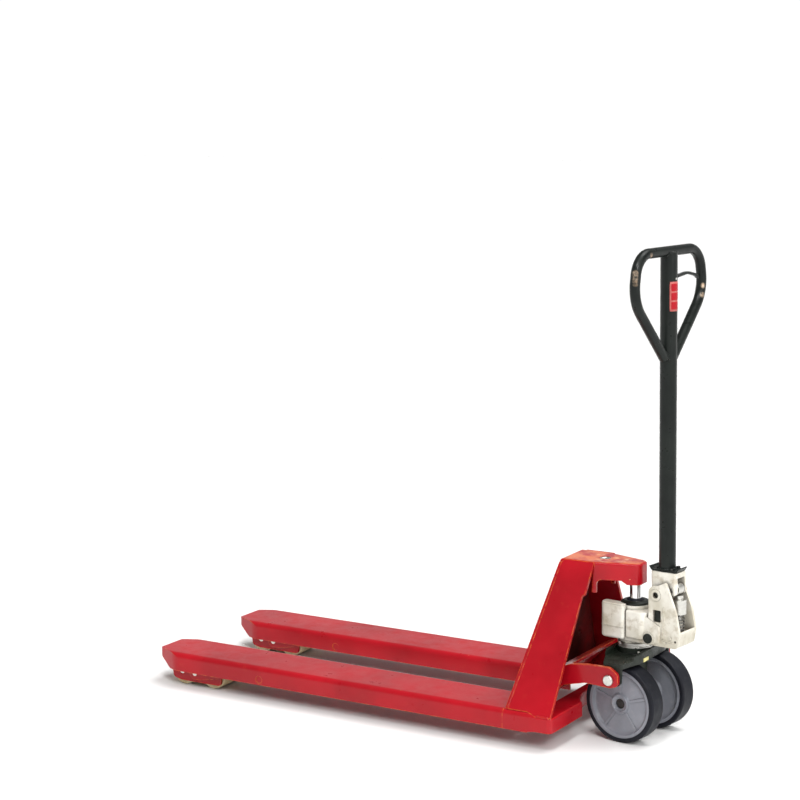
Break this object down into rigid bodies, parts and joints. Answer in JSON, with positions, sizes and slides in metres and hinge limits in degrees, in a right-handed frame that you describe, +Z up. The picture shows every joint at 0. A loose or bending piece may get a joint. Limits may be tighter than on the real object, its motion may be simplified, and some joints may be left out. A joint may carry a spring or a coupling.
{
  "type": "hand pallet truck",
  "caption": "Hand pallet truck: low steel fork frame on load rollers, raised by a hydraulic ram above twin steer wheels and a hinged drawbar with loop handle.",
  "frame": {"origin": "on the floor, at the centre of the bounding box's footprint", "axes": "+X from the fork tips towards the drawbar, +Y to the left, +Z up; forks lowered, drawbar upright, steering turned -7 degrees about +Z"},
  "size_m": [1.5178, 0.54, 1.259],
  "materials": {
    "red_paint": "semi-gloss red enamel over sheet steel, orange where edges are worn thin",
    "cream_paint": "satin off-white paint on rough castings",
    "black_paint": "gloss black enamel, rubbed bright where hands hold the loop",
    "black_casting": "oily black casting",
    "chrome": "hard-chromed rod",
    "bright_steel": "zinc-plated or ground steel",
    "spring_steel": "dark oiled steel",
    "bronze": "plain bearing bronze",
    "wheel_grey": "mid-grey moulded wheel centre",
    "tyre_rubber": "near-black solid rubber tyre",
    "cream_nylon": "cream nylon load roller"
  },
  "bodies": {
    "turntable": {"turntable_bracket": "black_casting", "turntable_bush": "bronze", "thrust_bearing": "bright_steel"},
    "pump_unit": {"king_post": "black_casting", "pump_body": "cream_paint", "plunger_housing": "cream_paint", "oil_reservoir": "cream_paint", "reservoir_lid": "cream_paint", "cylinder_cap": "black_casting", "oil_plugs": "black_casting", "pivot_pins": "bright_steel", "plunger_spring": "spring_steel", "wheel_axle": "bright_steel", "circlips": "bright_steel"},
    "wheel_left": {"steer_wheel_left": "wheel_grey", "steer_tyre_left": "tyre_rubber", "wheel_bush_left": "bronze"},
    "wheel_right": {"steer_wheel_right": "wheel_grey", "steer_tyre_right": "tyre_rubber", "wheel_bush_right": "bronze"},
    "ram": {"ram_rod": "chrome"},
    "plunger": {"pump_plunger": "bright_steel"},
    "drawbar": {"drawbar_yoke": "cream_paint", "drawbar_flange": "black_paint", "flange_bolts": "bright_steel", "drawbar_tube": "black_paint", "handle_loop": "black_paint", "drawbar_pins": "bright_steel"},
    "pressure_roller": {"pressure_roller": "bright_steel"},
    "control_lever": {"control_lever": "black_paint"},
    "pull_rod": {"pull_rod": "spring_steel"},
    "release_lever": {"release_lever": "bright_steel"},
    "lift_frame": {"fork_left": "red_paint", "fork_right": "red_paint", "heel_crossmember": "red_paint", "leg_left": "red_paint", "leg_right": "red_paint", "carriage_plate": "red_paint", "head_nose": "red_paint", "ram_seat": "bright_steel", "rocker_shaft": "bright_steel", "lever_axles": "red_paint"},
    "rocker": {"rocker_arms": "red_paint", "rocker_pins": "bright_steel"},
    "lever_left": {"lever_left": "red_paint", "lever_pins_left": "bright_steel"},
    "bogie_left": {"bogie_left": "red_paint", "roller_axles_left": "bright_steel"},
    "push_rod_left": {"push_rod_left": "spring_steel"},
    "load_roller_tip_left": {"load_roller_tip_left": "cream_nylon"},
    "load_roller_heel_left": {"load_roller_heel_left": "cream_nylon"},
    "lever_right": {"lever_right": "red_paint", "lever_pins_right": "bright_steel"},
    "bogie_right": {"bogie_right": "red_paint", "roller_axles_right": "bright_steel"},
    "push_rod_right": {"push_rod_right": "spring_steel"},
    "load_roller_tip_right": {"load_roller_tip_right": "cream_nylon"},
    "load_roller_heel_right": {"load_roller_heel_right": "cream_nylon"}
  },
  "joints": [
    {"name": "steer", "type": "hinge", "parent": "turntable", "child": "pump_unit", "pos_m": [0.60106, 0, 0.2], "axis": [0, 0, 1], "range_deg": [-83, 97]},
    {"name": "wheel_left_spin", "type": "hinge", "parent": "pump_unit", "child": "wheel_left", "pos_m": [0.61495, -0.00171, 0.1], "axis": [0.1219, 0.9925, 0], "continuous": true},
    {"name": "wheel_right_spin", "type": "hinge", "parent": "pump_unit", "child": "wheel_right", "pos_m": [0.61495, -0.00171, 0.1], "axis": [0.1219, 0.9925, 0], "continuous": true},
    {"name": "ram_extend", "type": "slide", "parent": "pump_unit", "child": "ram", "axis": [0, 0, 1], "range_m": [0, 0.11]},
    {"name": "drawbar_tilt", "type": "hinge", "parent": "pump_unit", "child": "drawbar", "pos_m": [0.68542, -0.01036, 0.38], "axis": [0.1219, 0.9925, 0], "range_deg": [0, 75], "stiffness_Nm_per_rad": 30, "springref_deg": -8.59},
    {"name": "plunger_stroke", "type": "slide", "parent": "pump_unit", "child": "plunger", "axis": [0, 0, -1], "range_m": [0, 0.0486], "deforming": ["plunger_spring"]},
    {"name": "pressure_roller_spin", "type": "hinge", "parent": "drawbar", "child": "pressure_roller", "pos_m": [0.72115, -0.01475, 0.394], "axis": [0.1219, 0.9925, 0], "continuous": true},
    {"name": "control_lever_swing", "type": "hinge", "parent": "drawbar", "child": "control_lever", "pos_m": [0.69336, -0.01133, 1.178], "axis": [0.9925, -0.1219, 0], "range_deg": [-12, 12], "stiffness_Nm_per_rad": 1.5},
    {"name": "pull_rod_slide", "type": "slide", "parent": "drawbar", "child": "pull_rod", "axis": [0, 0, -1], "range_m": [-0.0023, 0.0023]},
    {"name": "release_lever_swing", "type": "hinge", "parent": "pump_unit", "child": "release_lever", "pos_m": [0.72403, 0.03326, 0.3], "axis": [0.1219, 0.9925, 0], "range_deg": [-12.1, 12.1]},
    {"name": "lift", "type": "slide", "parent": "turntable", "child": "lift_frame", "axis": [0, 0, 1], "range_m": [0, 0.11]},
    {"name": "rocker_swing", "type": "hinge", "parent": "lift_frame", "child": "rocker", "pos_m": [0.39606, 0, 0.10642], "axis": [0, 1, 0], "range_deg": [0, 29.52]},
    {"name": "lever_left_swing", "type": "hinge", "parent": "lift_frame", "child": "lever_left", "pos_m": [-0.39353, 0.19, 0.06], "axis": [0, -1, 0], "range_deg": [0, 29.52]},
    {"name": "bogie_left_swing", "type": "hinge", "parent": "lever_left", "child": "bogie_left", "pos_m": [-0.62194, 0.19, 0.041], "axis": [0, 1, 0], "range_deg": [0, 29.52]},
    {"name": "push_rod_left_swing", "type": "hinge", "parent": "lever_left", "child": "push_rod_left", "pos_m": [-0.38742, 0.19, 0.08321], "axis": [0, 1, 0], "range_deg": [0, 29.52]},
    {"name": "load_roller_tip_left_spin", "type": "hinge", "parent": "bogie_left", "child": "load_roller_tip_left", "pos_m": [-0.67094, 0.19, 0.041], "axis": [0, 1, 0], "continuous": true},
    {"name": "load_roller_heel_left_spin", "type": "hinge", "parent": "bogie_left", "child": "load_roller_heel_left", "pos_m": [-0.57294, 0.19, 0.041], "axis": [0, 1, 0], "continuous": true},
    {"name": "lever_right_swing", "type": "hinge", "parent": "lift_frame", "child": "lever_right", "pos_m": [-0.39353, -0.19, 0.06], "axis": [0, -1, 0], "range_deg": [0, 29.52]},
    {"name": "bogie_right_swing", "type": "hinge", "parent": "lever_right", "child": "bogie_right", "pos_m": [-0.62194, -0.19, 0.041], "axis": [0, 1, 0], "range_deg": [0, 29.52]},
    {"name": "push_rod_right_swing", "type": "hinge", "parent": "lever_right", "child": "push_rod_right", "pos_m": [-0.38742, -0.19, 0.08321], "axis": [0, 1, 0], "range_deg": [0, 29.52]},
    {"name": "load_roller_tip_right_spin", "type": "hinge", "parent": "bogie_right", "child": "load_roller_tip_right", "pos_m": [-0.67094, -0.19, 0.041], "axis": [0, 1, 0], "continuous": true},
    {"name": "load_roller_heel_right_spin", "type": "hinge", "parent": "bogie_right", "child": "load_roller_heel_right", "pos_m": [-0.57294, -0.19, 0.041], "axis": [0, 1, 0], "continuous": true}
  ],
  "couplings": [
    {"joint": "ram_extend", "follows": "lift", "ratio": 1},
    {"joint": "rocker_swing", "follows": "lift", "rad_per_m": 4.6801},
    {"joint": "plunger_stroke", "follows": "drawbar_tilt", "m_per_rad": 0.037},
    {"joint": "pull_rod_slide", "follows": "control_lever_swing", "m_per_rad": 0.0105},
    {"joint": "release_lever_swing", "follows": "control_lever_swing", "ratio": 1},
    {"joint": "lever_left_swing", "follows": "lift", "rad_per_m": 4.6801},
    {"joint": "bogie_left_swing", "follows": "lift", "rad_per_m": 4.6801},
    {"joint": "push_rod_left_swing", "follows": "lift", "rad_per_m": 4.6801},
    {"joint": "lever_right_swing", "follows": "lift", "rad_per_m": 4.6801},
    {"joint": "bogie_right_swing", "follows": "lift", "rad_per_m": 4.6801},
    {"joint": "push_rod_right_swing", "follows": "lift", "rad_per_m": 4.6801}
  ]
}
